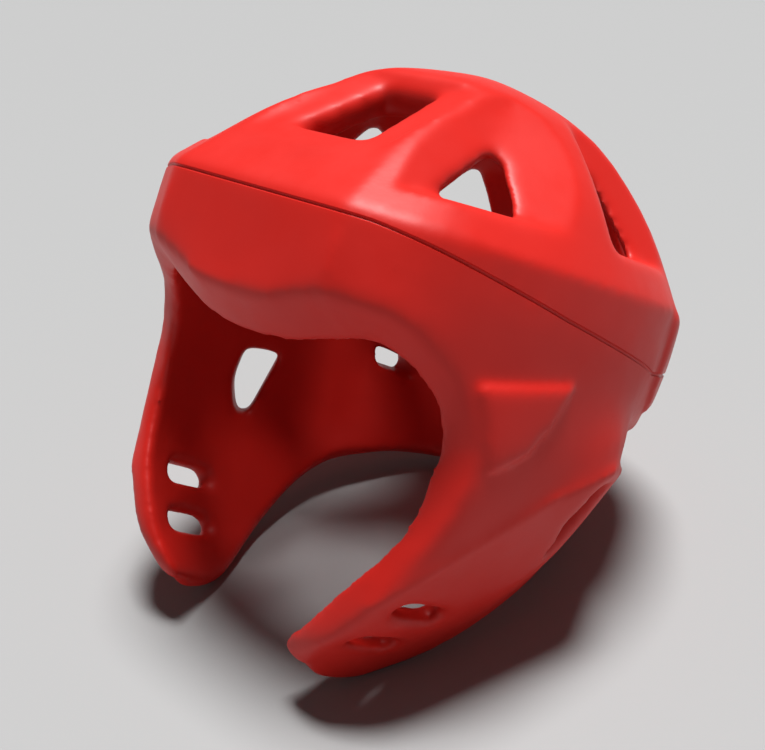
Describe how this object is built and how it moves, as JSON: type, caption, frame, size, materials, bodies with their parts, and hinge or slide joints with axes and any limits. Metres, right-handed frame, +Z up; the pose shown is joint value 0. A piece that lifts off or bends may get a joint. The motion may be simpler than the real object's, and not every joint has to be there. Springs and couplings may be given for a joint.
{
  "type": "padded head guard",
  "caption": "Open-face martial-arts head guard in one piece of skinned foam, with a vented crown, a faceted brow panel, cheek guards with strap slots, ear openings and a nape.",
  "frame": {"origin": "centre of the footprint on the floor, with the guard lying as it rests by itself on its two chin tips and the nape", "axes": "+Z up, the face opening towards -Y, the wearer's left towards +X"},
  "size_m": [0.2144, 0.2378, 0.2107],
  "materials": {
    "red_foam": "satin"
  },
  "bodies": {
    "root": {"headgear_shell": "red_foam"}
  },
  "joints": []
}
